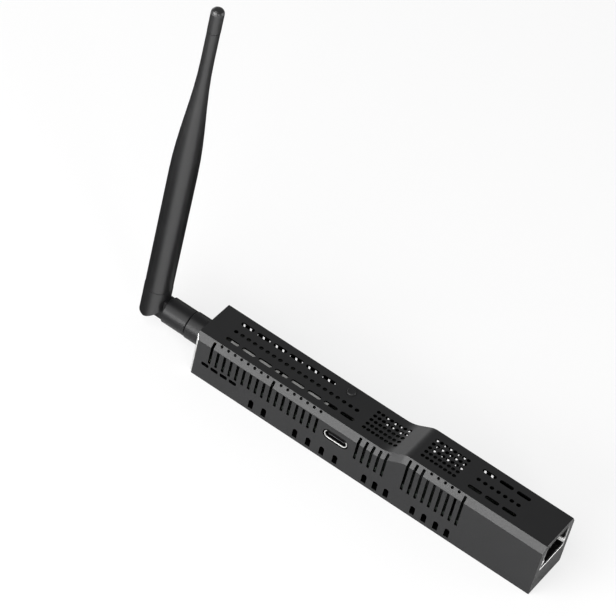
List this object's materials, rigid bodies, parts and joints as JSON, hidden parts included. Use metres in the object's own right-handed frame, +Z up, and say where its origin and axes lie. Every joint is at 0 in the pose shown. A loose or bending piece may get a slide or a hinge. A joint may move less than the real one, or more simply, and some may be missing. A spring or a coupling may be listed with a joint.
{
  "type": "network radio adapter stick",
  "caption": "Slim perforated adapter housing with a raised network socket end, a side USB socket, a top button and a folding, turning rod antenna.",
  "frame": {"origin": "middle of the housing's underside", "axes": "+Z up, +X to the network socket, -Y to the USB socket"},
  "size_m": [0.1636, 0.0194, 0.1385],
  "materials": {
    "black_housing": "fine matt coat",
    "screw_steel": "blackened steel",
    "board_black": "solder mask",
    "tinned_can": "tinned sheet",
    "chip_black": "moulded resin",
    "capacitor_can": "sleeved can",
    "lamp_clear": "clear resin",
    "button_black": "smooth",
    "socket_steel": "nickel plated sheet",
    "socket_plastic": "moulded",
    "contact_gold": "gold plated",
    "brass_fitting": "turned",
    "core_white": "waxy",
    "antenna_black": "satin",
    "sleeve_black": "soft satin"
  },
  "bodies": {
    "adapter": {"housing_shell": "black_housing", "bottom_cover": "black_housing", "cover_screws": "screw_steel", "main_board": "board_black", "radio_risers": "socket_plastic", "radio_board": "board_black", "radio_can": "tinned_can", "processor_risers": "socket_plastic", "processor_board": "board_black", "processor_can": "tinned_can", "network_transformer": "chip_black", "network_chip": "chip_black", "usb_chip": "chip_black", "clock_crystal": "tinned_can", "power_transformer": "chip_black", "power_coil": "chip_black", "storage_capacitor": "capacitor_can", "status_lamps": "lamp_clear", "switch_body": "chip_black", "jack_shield": "socket_steel", "jack_body": "socket_plastic", "jack_contacts": "contact_gold", "usb_shell": "socket_steel", "usb_tongue": "socket_plastic", "usb_solder_pad": "socket_steel", "antenna_socket": "brass_fitting", "socket_core": "core_white", "socket_pin": "contact_gold", "coupling_nut": "antenna_black"},
    "button": {"button_cap": "button_black", "switch_plunger": "button_black"},
    "antenna_base": {"antenna_swivel": "antenna_black", "swivel_ferrule": "brass_fitting"},
    "antenna_rod": {"rod_fork": "antenna_black", "rod_sleeve": "sleeve_black", "rod_radiator": "brass_fitting", "rod_cap": "sleeve_black"}
  },
  "joints": [
    {"name": "antenna_turn", "type": "hinge", "parent": "adapter", "child": "antenna_base", "pos_m": [-0.0758, 0, 0.00925], "axis": [1, 0, 0], "continuous": true},
    {"name": "antenna_tilt", "type": "hinge", "parent": "antenna_base", "child": "antenna_rod", "pos_m": [-0.0908, 0, 0.00925], "axis": [0, -1, 0], "range_deg": [0, 90]},
    {"name": "button_press", "type": "slide", "parent": "adapter", "child": "button", "axis": [0, 0, -1], "range_m": [0, 0.00035], "stiffness_N_per_m": 3000, "springref_m": -0.0002}
  ]
}
